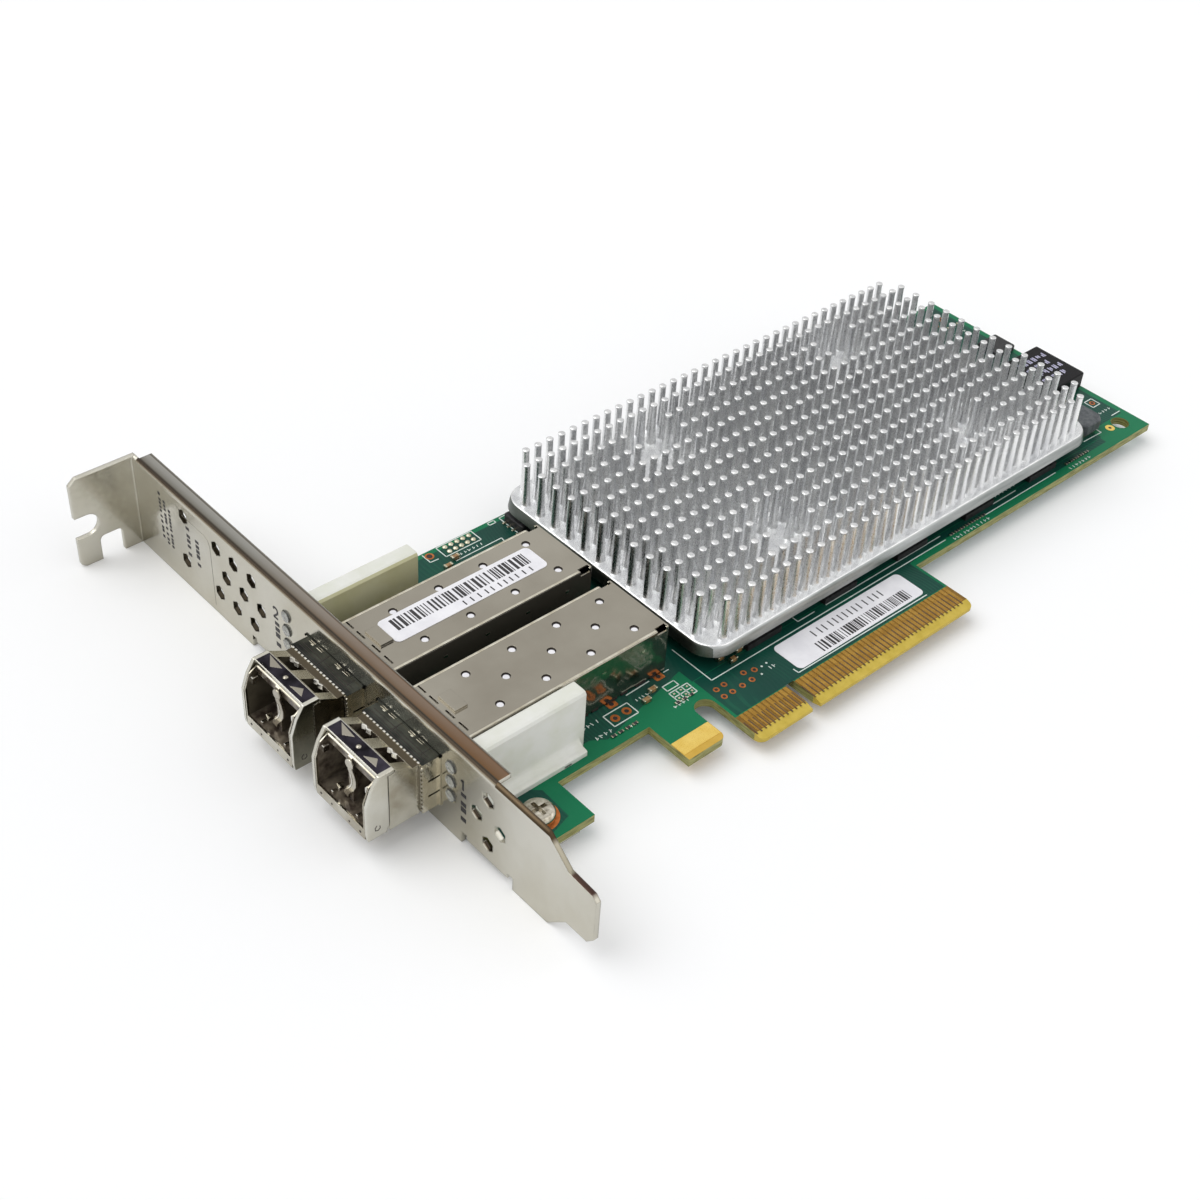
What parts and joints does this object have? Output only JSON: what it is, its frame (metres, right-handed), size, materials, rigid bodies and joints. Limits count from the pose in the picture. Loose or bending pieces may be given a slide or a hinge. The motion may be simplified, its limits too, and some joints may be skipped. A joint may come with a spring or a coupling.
{
  "type": "fibre channel adapter card",
  "caption": "Full-height adapter card with optical ports, bail latches, a pin-fin heatsink and an edge connector.",
  "frame": {"origin": "middle of the key notch, at the contact tips, on the component face of the board", "axes": "+X from the bracket to the tail, +Y from the contacts up the card, +Z away from the component face"},
  "size_m": [0.1828, 0.12, 0.0184],
  "materials": {
    "solder_mask": "semi-gloss solder mask",
    "gold_contacts": "gold plated",
    "bracket_nickel": "nickel plated sheet",
    "screw_steel": "nickel plated",
    "cage_tin": "tin plated sheet",
    "host_plastic": "moulded",
    "die_cast": "bright plated die casting",
    "bail_metal": "bright plated",
    "optics_metal": "turned metal",
    "white_plastic": "moulded",
    "clear_plastic": "clear moulded",
    "lamp": "clear lens",
    "sink_aluminium": "satin",
    "pad": "soft",
    "chip_black": "moulded",
    "ferrite": "ground ferrite",
    "capacitor": "fired ceramic",
    "resistor": "glazed",
    "label": "printed film"
  },
  "bodies": {
    "card": {"board_label": "label", "bracket_screws": "screw_steel", "cage_base_1": "cage_tin", "cage_base_2": "cage_tin", "cage_label": "label", "cage_shell_1": "cage_tin", "cage_shell_2": "cage_tin", "ceramic_capacitors": "capacitor", "chip_resistors": "resistor", "circuit_board": "solder_mask", "contacts_component_side": "gold_contacts", "contacts_solder_side": "gold_contacts", "controller_chip": "chip_black", "flash_chip": "chip_black", "ground_tab_plating": "gold_contacts", "heatsink": "sink_aluminium", "heatsink_screws": "screw_steel", "heatsink_spacers": "screw_steel", "heatsink_washers": "screw_steel", "host_connector_1": "host_plastic", "host_connector_2": "host_plastic", "light_pipe_housing_1": "white_plastic", "light_pipe_housing_2": "white_plastic", "light_pipes_1": "clear_plastic", "light_pipes_2": "clear_plastic", "memory_chips": "chip_black", "mounting_bracket": "bracket_nickel", "optical_units_1": "optics_metal", "optical_units_2": "optics_metal", "oscillator": "optics_metal", "port_lamps_1": "lamp", "port_lamps_2": "lamp", "power_inductor": "ferrite", "power_module": "chip_black", "spring_collar_1": "cage_tin", "spring_collar_2": "cage_tin", "thermal_pad": "pad", "transceiver_board_1": "solder_mask", "transceiver_board_2": "solder_mask", "transceiver_cover_1": "cage_tin", "transceiver_cover_2": "cage_tin", "transceiver_housing_1": "die_cast", "transceiver_housing_2": "die_cast", "voltage_regulator": "chip_black"},
    "bail_1": {"bail_latch_1": "bail_metal"},
    "bail_2": {"bail_latch_2": "bail_metal"}
  },
  "joints": [
    {"name": "bail_1_hinge", "type": "hinge", "parent": "card", "child": "bail_1", "pos_m": [-0.07085, 0.0283, 0.00105], "axis": [0, -1, 0], "range_deg": [0, 90]},
    {"name": "bail_2_hinge", "type": "hinge", "parent": "card", "child": "bail_2", "pos_m": [-0.07085, 0.0468, 0.00105], "axis": [0, -1, 0], "range_deg": [0, 90]}
  ]
}
